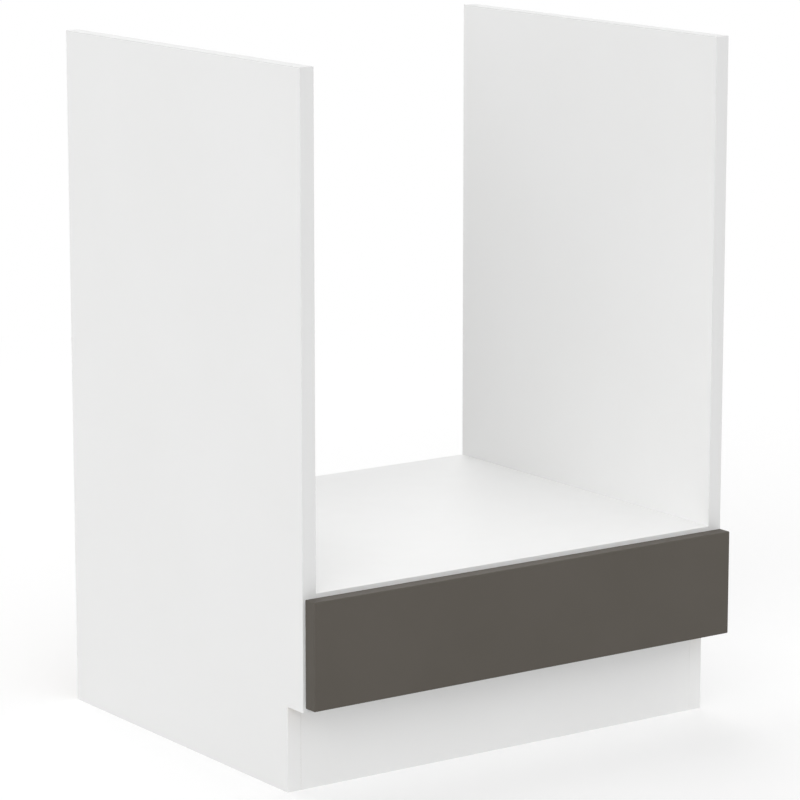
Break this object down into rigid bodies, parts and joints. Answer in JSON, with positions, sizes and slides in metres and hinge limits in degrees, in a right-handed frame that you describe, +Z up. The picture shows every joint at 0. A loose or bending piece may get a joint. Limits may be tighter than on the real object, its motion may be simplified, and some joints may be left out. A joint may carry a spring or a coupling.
{
  "type": "oven base cabinet",
  "caption": "White oven base cabinet with two full-height sides, an oven shelf, a set-back plinth and a shallow dark-fronted drawer on roller runners.",
  "frame": {"origin": "on the floor at the centre of the cabinet's plan, the drawer front included", "axes": "+Z up along the height, -Y out of the front, the way the drawer opens, +X to the right as seen from the front"},
  "size_m": [0.6, 0.52, 0.82],
  "materials": {
    "white_board": "matt white melamine-faced chipboard, 18 mm and 16 mm",
    "white_edging": "matt white edging strip",
    "grey_front": "matt dark grey-brown foil on 18 mm fibreboard",
    "hardboard": "3 mm hardboard, white lacquered on the face and brown behind",
    "runner_steel": "white powder-coated steel",
    "zinc": "die-cast zinc, as cast",
    "zinc_plate": "bright zinc-plated steel",
    "screw_steel": "zinc-plated screws",
    "beech": "beech dowels",
    "nylon": "natural white nylon",
    "bumper": "soft clear plastic dots"
  },
  "bodies": {
    "cabinet": {"side_panel_left": "white_board", "side_panel_right": "white_board", "bottom_panel": "white_board", "oven_shelf": "white_board", "plinth_board": "white_board", "back_panel": "hardboard", "edge_bands_left": "white_edging", "edge_bands_right": "white_edging", "edge_band_shelf": "white_edging", "edge_band_bottom": "white_edging", "cam_locks": "zinc", "cam_bolts": "screw_steel", "wood_dowels": "beech", "plinth_angles": "zinc_plate", "plinth_angle_screws": "screw_steel", "cabinet_runner_left": "runner_steel", "cabinet_runner_right": "runner_steel", "cabinet_runner_screws": "screw_steel", "front_roller_pins": "zinc_plate"},
    "drawer": {"drawer_front": "grey_front", "drawer_side_left": "white_board", "drawer_side_right": "white_board", "drawer_box_front": "white_board", "drawer_box_back": "white_board", "drawer_base": "hardboard", "edge_bands_drawer": "white_edging", "drawer_runner_left": "runner_steel", "drawer_runner_right": "runner_steel", "drawer_runner_screws": "screw_steel", "box_screws": "screw_steel", "front_screws": "screw_steel", "base_screws": "screw_steel", "rear_roller_pins": "zinc_plate", "bumpers": "bumper"},
    "front_roller_left": {"front_roller_left": "nylon"},
    "front_roller_right": {"front_roller_right": "nylon"},
    "rear_roller_left": {"rear_roller_left": "nylon"},
    "rear_roller_right": {"rear_roller_right": "nylon"}
  },
  "joints": [
    {"name": "drawer_slide", "type": "slide", "parent": "cabinet", "child": "drawer", "axis": [0, -1, 0], "range_m": [0, 0.34]},
    {"name": "front_roller_left_spin", "type": "hinge", "parent": "cabinet", "child": "front_roller_left", "pos_m": [-0.27575, -0.224, 0.1377], "axis": [1, 0, 0], "continuous": true},
    {"name": "front_roller_right_spin", "type": "hinge", "parent": "cabinet", "child": "front_roller_right", "pos_m": [0.27575, -0.224, 0.1377], "axis": [1, 0, 0], "continuous": true},
    {"name": "rear_roller_left_spin", "type": "hinge", "parent": "drawer", "child": "rear_roller_left", "pos_m": [-0.27575, 0.198, 0.1377], "axis": [1, 0, 0], "continuous": true},
    {"name": "rear_roller_right_spin", "type": "hinge", "parent": "drawer", "child": "rear_roller_right", "pos_m": [0.27575, 0.198, 0.1377], "axis": [1, 0, 0], "continuous": true}
  ],
  "couplings": [
    {"joint": "front_roller_left_spin", "follows": "drawer_slide", "rad_per_m": 100},
    {"joint": "front_roller_right_spin", "follows": "drawer_slide", "rad_per_m": 100},
    {"joint": "rear_roller_left_spin", "follows": "drawer_slide", "rad_per_m": 100},
    {"joint": "rear_roller_right_spin", "follows": "drawer_slide", "rad_per_m": 100}
  ]
}
